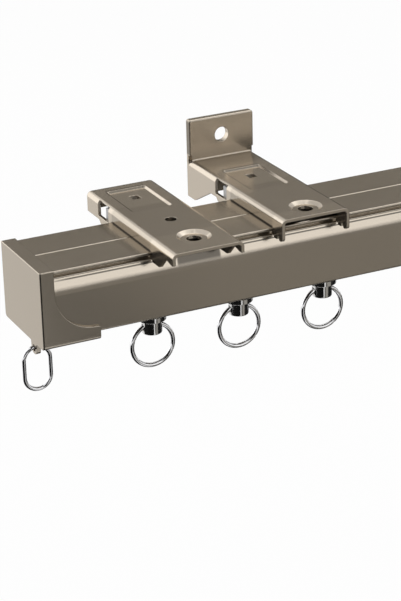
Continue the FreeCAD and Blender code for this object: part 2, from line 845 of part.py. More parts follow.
def makeAxle(prefix, x):
    body = newBody(prefix + "_axle")
    sketch = newSketch(body, "profile", "XY_Plane")
    shaft = size("axle_width") / 2
    collar = shaft + size("spacer_wall")
    head = size("axle_head") / 2
    dish = size("axle_dish") / 2
    spacer = size("collar_length") / 2 + size("axle_fit")
    raceIn = wheelY - raceHalf
    headIn = wheelY + raceHalf
    tip = headIn + size("axle_head_reach")
    half = [
        (shaft, spacer), (collar, spacer), (collar, raceIn), (shaft, raceIn),
        (shaft, headIn), (head, headIn), (head, tip, 0.35), (dish, tip, 0.15),
        (dish * 0.7, tip - size("axle_dish_depth"), 0.4),
    ]
    mirror = [(corner[0], -corner[1]) + corner[2:] for corner in reversed(half)]
    outline(sketch, [(0, -tip + size("axle_dish_depth"))] + mirror + half + [(0, tip - size("axle_dish_depth"))])
    turned(body, sketch)
    place(body, x, 0, axleHeight)


def makeRace(name, x, side, inner, outer):
    body = newBody(name)
    section = newSketch(body, "section", "XY_Plane")
    box(section, inner, outer, -raceHalf, raceHalf)
    turned(body, section)
    groove = newSketch(body, "ball_track", "XY_Plane")
    circle(groove, ballRing, 0, size("ball_width") / 2 + size("ball_fit"))
    turned(body, groove, cut=True)
    place(body, x, wheelY * side, axleHeight)


def makeBalls(name, x, side):
    body = newBody(name)
    body.AllowCompound = True
    section = newSketch(body, "half_ball", "XZ_Plane")
    radius = valueOf(size("ball_width")) / 2
    centre = FreeCAD.Vector(valueOf(ballRing), 0, 0)
    ball = Part.ArcOfCircle(Part.Circle(centre, FreeCAD.Vector(0, 0, 1), radius), 0, math.pi)
    arc = section.addGeometry(ball, False)
    chord = section.addGeometry(Part.LineSegment(centre - FreeCAD.Vector(radius, 0, 0),
                                                 centre + FreeCAD.Vector(radius, 0, 0)), False)
    section.addConstraint([Sketcher.Constraint("Coincident", arc, 2, chord, 1),
                           Sketcher.Constraint("Coincident", arc, 1, chord, 2),
                           Sketcher.Constraint("PointOnObject", arc, 3, -1),
                           Sketcher.Constraint("Horizontal", chord)])
    addDatums(section, [(("DistanceX", -1, 1, arc, 3), ballRing), (("Radius", arc), size("ball_width") / 2)])
    turned(body, section, axis="H_Axis")
    ring = body.newObject("PartDesign::PolarPattern", name + "_ring")
    ring.Originals = [body.Tip]
    ring.Axis = ([part for part in body.Origin.OriginFeatures if part.Role == "Y_Axis"][0], [""])
    ring.Angle = 360
    ring.Occurrences = 7
    body.Tip = ring
    place(body, x, wheelY * side, axleHeight)


def makeTyre(name, x, side):
    body = newBody(name)
    sketch = newSketch(body, "profile", "XY_Plane")
    bore = size("race_outer") / 2
    crown = size("tyre_width") / 2
    half = size("tyre_thick") / 2
    outline(sketch, [
        (bore, -raceHalf), (bore + 0.4, -half, 0.2), (crown, -half, size("tyre_crown")),
        (crown, half, size("tyre_crown")), (bore + 0.4, half, 0.2), (bore, raceHalf),
    ])
    turned(body, sketch)
    place(body, x, wheelY * side, axleHeight)


def ringCentre():
    """Height of the ring's centre under the underside of the yoke's floor."""
    return -size("ring_drop") - size("ring_width") / 2


def makeStud(prefix, x):
    body = newBody(prefix + "_swivel_stud")
    sketch = newSketch(body, "profile", "XZ_Plane")
    neck = size("stud_neck") / 2
    eye = size("eye_width") / 2
    head = size("stud_head") / 2
    floorTopZ = size("yoke_floor") + size("stud_fit")
    eyeTop = -size("eye_gap")
    outline(sketch, [
        (0, -size("eye_drop")),
        (eye, -size("eye_drop"), size("eye_round")),
        (eye, eyeTop, size("eye_round")),
        (neck, eyeTop),
        (neck, floorTopZ),
        (head, floorTopZ),
        (head, floorTopZ + size("stud_head_rise") * 0.45, 0.5),
        (head * 0.55, floorTopZ + size("stud_head_rise"), 1.6),
        (0, floorTopZ + size("stud_head_rise")),
    ])
    turned(body, sketch)
    path = newSketch(body, "bore_section", "YZ_Plane")
    centre = ringCentre()
    wireCentre = -size("ring_drop") - size("ring_wire") / 2
    circle(path, 0, wireCentre, size("eye_bore") / 2)
    axis = path.addGeometry(Part.LineSegment(FreeCAD.Vector(-3, valueOf(centre), 0),
                                             FreeCAD.Vector(3, valueOf(centre), 0)), True)
    path.addConstraint(Sketcher.Constraint("Horizontal", axis))
    addDatums(path, pinPoint(axis, 1, -3, centre) + [(("DistanceX", axis, 1, axis, 2), 6)])
    turned(body, path, cut=True, axis="Axis0")
    place(body, x, 0, axleHeight - size("yoke_drop"))


def makeRing(prefix, x):
    ring = doc.addObject("Part::Torus", prefix + "_ring")
    ring.Label = prefix + "_ring"
    bind(ring, "Radius1", size("ring_width") / 2 - size("ring_wire") / 2)
    bind(ring, "Radius2", size("ring_wire") / 2)
    turn = FreeCAD.Rotation(FreeCAD.Vector(1, 0, 0), 90)
    ring.Placement = FreeCAD.Placement(FreeCAD.Vector(), turn)
    bind(ring, "Placement.Base.x", x - homeX)
    bind(ring, "Placement.Base.y", 0 - homeY)
    bind(ring, "Placement.Base.z", axleHeight - size("yoke_drop") + ringCentre() - homeZ)
    pieces.append(ring)


def makeCarrier(prefix, x):
    makeYoke(prefix, x)
    makeAxle(prefix, x)
    makeSleeve(prefix + "_sleeve_left", x, -1)
    makeSleeve(prefix + "_sleeve_right", x, 1)
    for side, word in ((-1, "front"), (1, "back")):
        makeTyre("%s_%s_tyre" % (prefix, word), x, side)
        outer = size("race_outer") / 2
        makeRace("%s_%s_outer_race" % (prefix, word), x, side, outer - size("race_rim"), outer)
        makeRace("%s_%s_inner_race" % (prefix, word), x, side, size("axle_width") / 2, innerRaceRadius)
        makeBalls("%s_%s_balls" % (prefix, word), x, side)
    makeStud(prefix, x)
    makeRing(prefix, x)


makeRail()
eyeHeight = makeCap("end_cap_left", False)
makeCap("end_cap_right", True)
makeLink("end_ring_left", size("lug_center"), eyeHeight)
makeLink("end_ring_right", railEnd + size("cap_wall") - size("lug_center"), eyeHeight)
makeBracket("ceiling_bracket", size("ceiling_bracket_at"), halfDeck + size("ceiling_reach_front"),
            halfDeck + size("ceiling_reach_back"), size("ceiling_dish_at"), False)
makeBracket("wall_bracket", size("wall_bracket_at"), halfDeck + size("wall_reach_front"),
            size("wall_reach"), size("wall_dish_at"), True)
for name, at in (("ceiling", size("ceiling_bracket_at")), ("wall", size("wall_bracket_at"))):
    makeLock(name + "_lock", at)
    makeSpring(name + "_lock_spring", at)
for number, word in enumerate(("left", "middle", "right")):
    makeCarrier(word + "_carrier", size("first_carrier") + size("carrier_pitch") * number)

doc.recompute()

faults = []
for part in doc.Objects:
    if "Invalid" in part.State or "Error" in part.State:
        faults.append(part.Name + " " + " ".join(part.State))
for piece in pieces:
    if piece.Shape.isNull() or not piece.Shape.isValid():
        faults.append(piece.Label + " has no valid shape")
if faults:
    raise RuntimeError("; ".join(faults))

os.makedirs("parts", exist_ok=True)
for piece in pieces:
    piece.Shape.exportStep("parts/%s.step" % piece.Label)
    print("%-28s %9.2f mm3, %d solid" % (piece.Label, piece.Shape.Volume, len(piece.Shape.Solids)))
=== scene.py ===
import json
import math

import bpy
from mathutils import Matrix, Vector


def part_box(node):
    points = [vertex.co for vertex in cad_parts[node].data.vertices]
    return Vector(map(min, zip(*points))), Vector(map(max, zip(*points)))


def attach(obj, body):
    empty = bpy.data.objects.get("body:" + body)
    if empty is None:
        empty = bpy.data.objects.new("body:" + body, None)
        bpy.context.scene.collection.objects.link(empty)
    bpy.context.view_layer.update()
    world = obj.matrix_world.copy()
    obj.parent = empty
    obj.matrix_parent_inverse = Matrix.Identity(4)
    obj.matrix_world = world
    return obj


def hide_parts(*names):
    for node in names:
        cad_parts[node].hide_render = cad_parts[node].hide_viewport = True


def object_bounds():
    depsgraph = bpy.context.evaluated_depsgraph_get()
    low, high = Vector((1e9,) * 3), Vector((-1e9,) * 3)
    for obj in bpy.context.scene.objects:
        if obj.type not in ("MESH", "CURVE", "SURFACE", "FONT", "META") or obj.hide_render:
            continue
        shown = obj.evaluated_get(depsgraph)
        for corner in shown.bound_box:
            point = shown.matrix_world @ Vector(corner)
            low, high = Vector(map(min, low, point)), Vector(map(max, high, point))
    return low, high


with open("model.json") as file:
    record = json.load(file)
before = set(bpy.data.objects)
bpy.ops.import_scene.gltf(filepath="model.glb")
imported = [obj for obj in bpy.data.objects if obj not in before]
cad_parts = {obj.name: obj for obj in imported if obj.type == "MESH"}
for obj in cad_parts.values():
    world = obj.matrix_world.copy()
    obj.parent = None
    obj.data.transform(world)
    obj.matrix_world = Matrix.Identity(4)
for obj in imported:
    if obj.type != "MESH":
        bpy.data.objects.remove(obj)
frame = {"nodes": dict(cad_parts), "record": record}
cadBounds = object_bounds()

mm = 0.001
nodes = frame["nodes"]
slotOfNode = {row["node"]: row["material_slot"] for row in frame["record"]["subparts"]}

# The camera, placed so that the track lies as it does in the photograph
cameraSetup = {
    "place": (-282.4 * mm, -571.25 * mm, 206.9 * mm),
    "azimuth": 25.64,       # degrees to the right of +Y
    "drop": 22.81,          # degrees below the horizon
    "roll": -1.443,
    "lens": 119.2,
    "sensor": 36.0,
    "nearest": 10 * mm,
}


def makeCamera(setup):
    data = bpy.data.cameras.new("camera")
    data.lens = setup["lens"]
    data.sensor_width = setup["sensor"]
    data.clip_start = setup["nearest"]
    camera = bpy.data.objects.new("camera", data)
    bpy.context.scene.collection.objects.link(camera)
    turn = Matrix.Rotation(math.radians(-setup["azimuth"]), 4, "Z")
    tilt = Matrix.Rotation(math.radians(90 - setup["drop"]), 4, "X")
    roll = Matrix.Rotation(math.radians(setup["roll"]), 4, "Z")
    camera.matrix_world = Matrix.Translation(setup["place"]) @ turn @ tilt @ roll
    bpy.context.scene.camera = camera


makeCamera(cameraSetup)
print("camera set")


def linear(red, green, blue):
    # an sRGB colour of 0 to 255, as the shaders want it
    parts = []
    for value in (red, green, blue):
        share = value / 255
        parts.append(share / 12.92 if share <= 0.04045 else ((share + 0.055) / 1.055) ** 2.4)
    return (*parts, 1)


# Shader groups that the finishes share
groupSetup = {
    "grainDetail": 3,
    "mottleDetail": 2,
    "rubDetail": 2,
    "rubSharp": 12.0,       # how sharply a rub begins
    "shadeAndJointSharp": 2.0,       # how sharply a painted shade line (and a cap's joint line) darkens from its side
    "shadeAndJointEndSharp": 12.0,   # and from its end
}


def newGroup(name, inputs, outputs):
    group = bpy.data.node_groups.new(name, "ShaderNodeTree")
    for socketName, kind, value in inputs:
        socket = group.interface.new_socket(socketName, in_out="INPUT", socket_type=kind)
        socket.default_value = value
    for socketName, kind in outputs:
        group.interface.new_socket(socketName, in_out="OUTPUT", socket_type=kind)
    return group, group.nodes.new("NodeGroupInput").outputs, group.nodes.new("NodeGroupOutput").inputs


def mathNode(tree, operation, first, second=0.0, clamp=False):
    node = tree.nodes.new("ShaderNodeMath")
    node.operation = operation
    node.use_clamp = clamp
    for socket, value in zip(node.inputs, (first, second)):
        if isinstance(value, (int, float)):
            socket.default_value = value
        else:
            tree.links.new(value, socket)
    return node.outputs[0]


def placeGroup(tree, group, values):
    node = tree.nodes.new("ShaderNodeGroup")
    node.node_tree = group
    for name, value in values.items():
        if isinstance(value, bpy.types.NodeSocket):
            tree.links.new(value, node.inputs[name])
        else:
            node.inputs[name].default_value = value
    return node.outputs


def noiseOf(tree, vector, scale, detail):
    noise = tree.nodes.new("ShaderNodeTexNoise")
    noise.inputs["Detail"].default_value = detail
    tree.links.new(vector, noise.inputs["Vector"])
    tree.links.new(scale, noise.inputs["Scale"])
    return noise.outputs["Fac"]


def stretched(tree, coordinates, stretch):
    mapping = tree.nodes.new("ShaderNodeMapping")
    tree.links.new(coordinates, mapping.inputs["Vector"])
    tree.links.new(stretch, mapping.inputs["Scale"])
    return mapping.outputs[0]


def makeGrainGroup(setup):
    # fine grain drawn out along one way, and broad soft mottling
    group, given, result = newGroup(
        "drawnGrain",
        [("Stretch", "NodeSocketVector", (1, 1, 1)),
         ("Grain Scale", "NodeSocketFloat", 900.0),
         ("Mottle Scale", "NodeSocketFloat", 60.0)],
        [("Grain", "NodeSocketFloat"), ("Mottle", "NodeSocketFloat")])
    point = group.nodes.new("ShaderNodeTexCoord").outputs["Object"]
    drawn = stretched(group, point, given["Stretch"])
    grain = noiseOf(group, drawn, given["Grain Scale"], setup["grainDetail"])
    mottle = noiseOf(group, point, given["Mottle Scale"], setup["mottleDetail"])
    group.links.new(grain, result["Grain"])
    group.links.new(mottle, result["Mottle"])
    return group


def makeHandlingGroup(setup):
    # sparse hairline rubs from handling, as a mask
    group, given, result = newGroup(
        "handlingMarks",
        [("Stretch", "NodeSocketVector", (1, 1, 1)),
         ("Scale", "NodeSocketFloat", 400.0),
         ("Share", "NodeSocketFloat", 0.3)],
        [("Mask", "NodeSocketFloat")])
    point = group.nodes.new("ShaderNodeTexCoord").outputs["Object"]
    drawn = stretched(group, point, given["Stretch"])
    lines = noiseOf(group, drawn, given["Scale"], setup["rubDetail"])
    edge = mathNode(group, "SUBTRACT", 1.0, given["Share"])
    over = mathNode(group, "SUBTRACT", lines, edge)
    group.links.new(mathNode(group, "MULTIPLY", over, setup["rubSharp"], clamp=True), result["Mask"])
    return group


def makeToneGroup():
    # grain, mottle and marks turned into a colour and a roughness around their middle values; Shade darkens
    # the colour with painted shade (and the caps' joint line)
    group, given, result = newGroup(
        "toneAndGloss",
        [("Grain", "NodeSocketFloat", 0.5),
         ("Mottle", "NodeSocketFloat", 0.5),
         ("Marks", "NodeSocketFloat", 0.0),
         ("Shade", "NodeSocketFloat", 0.0),
         ("Colour", "NodeSocketColor", (0.5, 0.5, 0.5, 1)),
         ("Tone Spread", "NodeSocketFloat", 0.1),
         ("Gloss", "NodeSocketFloat", 0.3),
         ("Gloss Spread", "NodeSocketFloat", 0.1),
         ("Mark Gloss", "NodeSocketFloat", 0.1)],
        [("Colour", "NodeSocketColor"), ("Roughness", "NodeSocketFloat")])
    both = mathNode(group, "ADD", given["Grain"], given["Mottle"])
    swing = mathNode(group, "SUBTRACT", both, 1.0)
    tone = mathNode(group, "MULTIPLY", swing, given["Tone Spread"])
    tone = mathNode(group, "ADD", tone, 1.0)
    lit = mathNode(group, "SUBTRACT", 1.0, given["Shade"])
    scale = group.nodes.new("ShaderNodeVectorMath")
    scale.operation = "SCALE"
    group.links.new(given["Colour"], scale.inputs[0])
    group.links.new(mathNode(group, "MULTIPLY", tone, lit), scale.inputs["Scale"])
    group.links.new(scale.outputs[0], result["Colour"])
    gloss = mathNode(group, "MULTIPLY", swing, given["Gloss Spread"])
    gloss = mathNode(group, "ADD", gloss, given["Gloss"])
    rubbed = mathNode(group, "MULTIPLY", given["Marks"], given["Mark Gloss"])
    group.links.new(mathNode(group, "ADD", gloss, rubbed), result["Roughness"])
    return group


def makeShadeAndJointGroup(setup):
    # paints shade on what lies near a plane, such as a wall's foot or a pressed edge, over part of its
    # length, and also draws the caps' dark joint line;
    # Other takes the shade of the lines placed before, and the darker one holds
    group, given, result = newGroup(
        "seamLine",
        [("Axis", "NodeSocketVector", (0, 0, 1)),
         ("At", "NodeSocketFloat", 0.0),
         ("Reach", "NodeSocketFloat", 0.3 * mm),
         ("Across", "NodeSocketVector", (0, 1, 0)),
         ("Centre", "NodeSocketFloat", 0.0),
         ("Half Width", "NodeSocketFloat", 15 * mm),
         ("Depth", "NodeSocketFloat", 0.8),
         ("Other", "NodeSocketFloat", 0.0)],
        [("Shade", "NodeSocketFloat")])
    point = group.nodes.new("ShaderNodeTexCoord").outputs["Object"]

    def distance(axis, middle):
        along = group.nodes.new("ShaderNodeVectorMath")
        along.operation = "DOT_PRODUCT"
        group.links.new(point, along.inputs[0])
        group.links.new(given[axis], along.inputs[1])
        offset = mathNode(group, "SUBTRACT", along.outputs["Value"], given[middle])
        return mathNode(group, "ABSOLUTE", offset)

    near = mathNode(group, "DIVIDE", distance("Axis", "At"), given["Reach"])
    near = mathNode(group, "SUBTRACT", 1.0, near)
    near = mathNode(group, "MULTIPLY", near, setup["shadeAndJointSharp"], clamp=True)
    over = mathNode(group, "DIVIDE", distance("Across", "Centre"), given["Half Width"])
    over = mathNode(group, "SUBTRACT", 1.0, over)
    over = mathNode(group, "MULTIPLY", over, setup["shadeAndJointEndSharp"], clamp=True)
    shade = mathNode(group, "MULTIPLY", near, over)
    shade = mathNode(group, "MULTIPLY", shade, given["Depth"])
    group.links.new(mathNode(group, "MAXIMUM", shade, given["Other"]), result["Shade"])
    return group


grainGroup = makeGrainGroup(groupSetup)
handlingGroup = makeHandlingGroup(groupSetup)
toneGroup = makeToneGroup()
shadeAndJointGroup = makeShadeAndJointGroup(groupSetup)

# Painted shade as dark lines and dimmed strips: where the brackets' walls stand on the deck and up their
# lower part, on the deck beside the brackets' left walls, in the pressed recesses, under the shoulder's lip,
# below the ceiling bracket and on the wall plate; and a dark joint line down the caps' corners
shadeAndJointSetup = {
    "foot": 0.7 * mm,            # the painted contact shadow where a bracket's wall stands on the deck
    "footDepth": 0.99,
    "wallLow": 5.5 * mm,         # how far up the brackets' walls painted shade dims them where they mirror the deck
    "wallDepth": 0.25,
    "glow": 6.0 * mm,            # painted shade on the deck's strip that mirrors a bracket's left wall, dimming that reflection
    "glowHalf": 1.0 * mm,        # over and under the deck's top
    "glowDepth": 0.4,
    "recessIn": 5.05 * mm,       # from a bracket's side to its recess, where a painted shade line runs
    "recessLine": 0.35 * mm,
    "recessDepth": 0.7,
    "recessFront": 9.0 * mm,     # behind the deck's middle line
    "recessBack": 30.2 * mm,
    "slope": 1.4 * mm,           # painted shade on the recess's rear slope
    "slopeDepth": 0.45,
    "shoulder": 4.2 * mm,        # below the deck's top: the shoulder, where painted shade darkens it below the ceiling bracket
    "shoulderReach": 2.6 * mm,
    "shoulderIn": 8.5 * mm,      # from the bracket's left side
    "shoulderDepth": 0.78,
    "lip": 3.55 * mm,            # below the deck's top: a painted shade line under the shoulder's lip
    "lipLine": 0.3 * mm,
    "lipDepth": 0.75,
    "bracketTop": 4.3 * mm,      # over the deck's top
    "relief": 1.9 * mm,          # the notch at the wall plate's fold
    "plateThick": 2.4 * mm,
    "plateEdge": 0.3 * mm,       # a painted shade line down the wall plate's left edge
    "plateDepth": 0.6,
    "plateFoot": 12.0 * mm,      # painted shade on the strip of the bracket's top in front of the wall plate
    "plateFootUnder": 0.2 * mm,
    "plateFootOver": 0.1 * mm,
    "plateFootDepth": 0.35,
    "capIn": 0.32 * mm,          # from a cap's end face to the line down its front corner
    "capLine": 0.2 * mm,
    "capFront": 1.0 * mm,        # in front of the cap's front face
    "capCorner": 0.2 * mm,       # and behind it
    "capDepth": 0.9,
}


def seam(axis, at, reach, across, low, high, depth):
    return {
        "Axis": axis, "At": at, "Reach": reach, "Across": across, "Centre": (low + high) / 2,
        "Half Width": (high - low) / 2, "Depth": depth}


def findShadeAndJointLines(setup):
    # the painted shade lines and strips, and the caps' joint lines, of each finish, placed from the frame's
    # boxes
    along, sideways, upward = (1, 0, 0), (0, 1, 0), (0, 0, 1)
    deckLow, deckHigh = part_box("track_profile")
    deckTop = deckHigh[2]
    middle = (deckLow[1] + deckHigh[1]) / 2
    front = middle + setup["recessFront"]
    back = middle + setup["recessBack"]
    brackets = [
        # painted contact shadow where the walls stand on the deck, and painted shade up the walls' lower
        # part
        seam(upward, deckTop, setup["foot"], sideways, deckLow[1], deckHigh[1], setup["footDepth"]),
        seam(upward, deckTop, setup["wallLow"], sideways, deckLow[1], deckHigh[1], setup["wallDepth"])]
    track = []
    for node in ("ceiling_bracket", "wall_bracket"):
        low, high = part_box(node)
        left = low[0] + setup["recessIn"]
        right = high[0] - setup["recessIn"]
        # painted shade along each recess's left edge and on its rear slope
        brackets.append(seam(along, left, setup["recessLine"], sideways, front, back, setup["recessDepth"]))
        brackets.append(seam(sideways, back, setup["slope"], along, left, right, setup["slopeDepth"]))
        # painted shade on the deck's strip that mirrors the bracket's left wall
        track.append(seam(along, low[0], setup["glow"], upward, deckTop - setup["glowHalf"],
                          deckTop + setup["glowHalf"], setup["glowDepth"]))
    low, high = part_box("ceiling_bracket")
    # painted shade on the shoulder below the ceiling bracket
    track.append(seam(upward, deckTop - setup["shoulder"], setup["shoulderReach"], along,
                      low[0] + setup["shoulderIn"], high[0], setup["shoulderDepth"]))
    # a painted shade line under the shoulder's lip
    track.append(seam(upward, deckTop - setup["lip"], setup["lipLine"], along, deckLow[0], deckHigh[0],
                      setup["lipDepth"]))
    low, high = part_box("wall_bracket")
    top = deckTop + setup["bracketTop"]
    plateFront = high[1] - setup["plateThick"]
    # painted shade down the wall plate's left edge, and on the bracket's top in front of the plate
    brackets.append(seam(along, low[0], setup["plateEdge"], upward, top + setup["relief"], high[2],
                         setup["plateDepth"]))
    brackets.append(seam(sideways, plateFront, setup["plateFoot"], upward, top - setup["plateFootUnder"],
                         top + setup["plateFootOver"], setup["plateFootDepth"]))
    caps = []
    for node, inward in (("end_cap_left", 1), ("end_cap_right", -1)):
        low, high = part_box(node)
        end = low[0] if inward > 0 else high[0]
        caps.append(seam(along, end + inward * setup["capIn"], setup["capLine"], sideways,
                         low[1] - setup["capFront"], low[1] + setup["capCorner"], setup["capDepth"]))
    return {"bracket_bronze": brackets, "satin_bronze": track, "cap_bronze": caps}


shadeAndJointLines = findShadeAndJointLines(shadeAndJointSetup)
bronzeEdge = linear(250, 246, 240)      # the bronze's tint at a glancing view
bumpHeight = 0.1 * mm
bevelSamples = 6

finishes = {
    "satin_bronze": {
        "colour": linear(177, 168, 155), "metallic": 0.92,
        "gloss": 0.2, "glossSpread": 0.04, "toneSpread": 0.04,
        "edge": bronzeEdge, "bevel": 0.2 * mm,
        "stretch": (0.02, 1, 1), "grain": 5000, "mottle": 35, "bump": 0.015,
        "markStretch": (0.03, 1, 1), "markScale": 900, "markShare": 0.33, "markGloss": 0.03,
    },
    "cap_bronze": {
        "colour": linear(173, 164, 151), "metallic": 0.92,
        "gloss": 0.22, "glossSpread": 0.04, "toneSpread": 0.03,
        "edge": bronzeEdge, "bevel": 0.2 * mm,
        "stretch": (1, 1, 0.4), "grain": 2600, "mottle": 50, "bump": 0.008,
        "markStretch": (1, 1, 0.05), "markScale": 500, "markShare": 0.33, "markGloss": 0.03,
    },
    "bracket_bronze": {
        "colour": linear(190, 180, 166), "metallic": 0.92,
        "gloss": 0.21, "glossSpread": 0.04, "toneSpread": 0.04,
        "edge": bronzeEdge, "bevel": 0.25 * mm,
        "stretch": (1, 0.15, 1), "grain": 3000, "mottle": 70, "bump": 0.02,
        "markStretch": (1, 0.04, 1), "markScale": 700, "markShare": 0.33, "markGloss": 0.03,
    },
    "white_nylon": {
        "colour": linear(228, 229, 230), "metallic": 0.0,
        "gloss": 0.42, "glossSpread": 0.1, "toneSpread": 0.04,
        "stretch": (1, 1, 1), "grain": 2000, "mottle": 200, "bump": 0.05,
        "markStretch": (1, 1, 0.2), "markScale": 700, "markShare": 0.32, "markGloss": 0.1,
    },
    "spring_steel": {
        "colour": linear(190, 190, 190), "metallic": 1.0,
        "gloss": 0.28, "glossSpread": 0.12, "toneSpread": 0.15,
        "stretch": (1, 1, 1), "grain": 4000, "mottle": 400, "bump": 0.03,
        "markStretch": (1, 0.3, 1), "markScale": 2500, "markShare": 0.4, "markGloss": 0.15,
    },
    "satin_steel": {
        "colour": linear(212, 211, 209), "metallic": 1.0,
        "gloss": 0.09, "glossSpread": 0.06, "toneSpread": 0.06,
        "stretch": (1, 1, 0.2), "grain": 3500, "mottle": 150, "bump": 0.03,
        "markStretch": (0.2, 1, 1), "markScale": 1200, "markShare": 0.34, "markGloss": 0.1,
    },
    "race_steel": {
        "colour": linear(196, 196, 198), "metallic": 1.0,
        "gloss": 0.18, "glossSpread": 0.1, "toneSpread": 0.1,
        "stretch": (1, 0.1, 1), "grain": 4000, "mottle": 300, "bump": 0.02,
        "markStretch": (1, 0.1, 1), "markScale": 1800, "markShare": 0.35, "markGloss": 0.1,
    },
    "blue_tyre": {
        "colour": linear(36, 36, 118), "metallic": 0.0,
        "gloss": 0.33, "glossSpread": 0.12, "toneSpread": 0.12,
        "stretch": (1, 1, 1), "grain": 2500, "mottle": 150, "bump": 0.05, "coat": 0.25,
        "markStretch": (1, 0.1, 1), "markScale": 900, "markShare": 0.38, "markGloss": 0.18,
    },
    "chrome_wire": {
        "colour": linear(232, 232, 234), "metallic": 1.0,
        "gloss": 0.07, "glossSpread": 0.05, "toneSpread": 0.05,
        "stretch": (1, 1, 1), "grain": 1500, "mottle": 200, "bump": 0.01,
        "markStretch": (1, 1, 1), "markScale": 1400, "markShare": 0.33, "markGloss": 0.05,
    },
}


def makeFinish(name, look):
    material = bpy.data.materials.new(name)
    material.use_nodes = True
    tree = material.node_tree
    shader = tree.nodes["Principled BSDF"]
    grain = placeGroup(tree, grainGroup, {
        "Stretch": look["stretch"], "Grain Scale": look["grain"], "Mottle Scale": look["mottle"]})
    marks = placeGroup(tree, handlingGroup, {
        "Stretch": look["markStretch"], "Scale": look["markScale"], "Share": look["markShare"]})
    values = {
        "Grain": grain["Grain"], "Mottle": grain["Mottle"], "Marks": marks["Mask"], "Colour": look["colour"],
        "Tone Spread": look["toneSpread"], "Gloss": look["gloss"], "Gloss Spread": look["glossSpread"],
        "Mark Gloss": look["markGloss"]}
    # painted shade lines and strips, and the caps' dark joint line, darken the colour through Shade
    for line in shadeAndJointLines.get(name, ()):
        other = {"Other": values["Shade"]} if "Shade" in values else {}
        values["Shade"] = placeGroup(tree, shadeAndJointGroup, {**line, **other})["Shade"]
    tone = placeGroup(tree, toneGroup, values)
    bump = tree.nodes.new("ShaderNodeBump")
    bump.inputs["Strength"].default_value = look["bump"]
    bump.inputs["Distance"].default_value = bumpHeight
    tree.links.new(grain["Grain"], bump.inputs["Height"])
    if "bevel" in look:
        bevel = tree.nodes.new("ShaderNodeBevel")
        bevel.samples = bevelSamples
        bevel.inputs["Radius"].default_value = look["bevel"]
        tree.links.new(bevel.outputs[0], bump.inputs["Normal"])
    tree.links.new(bump.outputs[0], shader.inputs["Normal"])
    tree.links.new(tone["Colour"], shader.inputs["Base Color"])
    tree.links.new(tone["Roughness"], shader.inputs["Roughness"])
    shader.inputs["Metallic"].default_value = look["metallic"]
    shader.inputs["Coat Weight"].default_value = look.get("coat", 0.0)
    shader.inputs["Specular Tint"].default_value = look.get("edge", (1, 1, 1, 1))
    return material


materials = {name: makeFinish(name, look) for name, look in finishes.items()}
for name, node in nodes.items():
    node.data.materials.clear()
    node.data.materials.append(materials[slotOfNode[name]])
print("finishes set:", len(materials))


# Round rings and oval links: a wire swept round its path, smoother than the solids it stands for

def newTree(name, inputs):
    tree = bpy.data.node_groups.new(name, "GeometryNodeTree")
    tree.is_modifier = True
    tree.interface.new_socket("Geometry", in_out="OUTPUT", socket_type="NodeSocketGeometry")
    for socketName, kind, value in inputs:
        socket = tree.interface.new_socket(socketName, in_out="INPUT", socket_type=kind)
        if value is not None:
            socket.default_value = value
    return tree, tree.nodes.new("NodeGroupInput").outputs, tree.nodes.new("NodeGroupOutput").inputs


def finishTree(tree, geometry, given, result):
    # realize, shade smooth and set the material, as a tree has to end
    realize = tree.nodes.new("GeometryNodeRealizeInstances")
    smooth = tree.nodes.new("GeometryNodeSetShadeSmooth")
    paint = tree.nodes.new("GeometryNodeSetMaterial")
    tree.links.new(geometry, realize.inputs[0])
    tree.links.new(realize.outputs[0], smooth.inputs[0])
    tree.links.new(smooth.outputs[0], paint.inputs[0])
    tree.links.new(given["Material"], paint.inputs["Material"])
    tree.links.new(paint.outputs[0], result[0])


def makeWireTree(setup):
    # a circle whose halves are moved apart by Stretch, which makes it a link
    tree, given, result = newTree("bentWire", [
        ("Radius", "NodeSocketFloat", 7 * mm),
        ("Wire Radius", "NodeSocketFloat", 0.7 * mm),
        ("Stretch", "NodeSocketFloat", 0.0),
        ("Around", "NodeSocketInt", setup["around"]),
        ("Around Wire", "NodeSocketInt", setup["aroundWire"]),
        ("Centre", "NodeSocketVector", (0, 0, 0)),
        ("Material", "NodeSocketMaterial", None)])
    path = tree.nodes.new("GeometryNodeCurvePrimitiveCircle")
    section = tree.nodes.new("GeometryNodeCurvePrimitiveCircle")
    parts = tree.nodes.new("ShaderNodeSeparateXYZ")
    offset = tree.nodes.new("ShaderNodeCombineXYZ")
    move = tree.nodes.new("GeometryNodeSetPosition")
    sweep = tree.nodes.new("GeometryNodeCurveToMesh")
    stand = tree.nodes.new("GeometryNodeTransform")
    link = tree.links.new
    link(given["Radius"], path.inputs["Radius"])
    link(given["Around"], path.inputs["Resolution"])
    link(given["Wire Radius"], section.inputs["Radius"])
    link(given["Around Wire"], section.inputs["Resolution"])
    link(path.outputs[0], move.inputs["Geometry"])
    link(tree.nodes.new("GeometryNodeInputPosition").outputs[0], parts.inputs[0])
    side = mathNode(tree, "SIGN", parts.outputs["Y"])
    link(mathNode(tree, "MULTIPLY", side, given["Stretch"]), offset.inputs["Y"])
    link(offset.outputs[0], move.inputs["Offset"])
    link(move.outputs[0], sweep.inputs["Curve"])
    link(section.outputs[0], sweep.inputs["Profile Curve"])
    link(sweep.outputs[0], stand.inputs["Geometry"])
    stand.inputs["Rotation"].default_value = (math.radians(90), 0, 0)      # from lying flat to hanging
    link(given["Centre"], stand.inputs["Translation"])
    finishTree(tree, stand.outputs[0], given, result)
    return tree


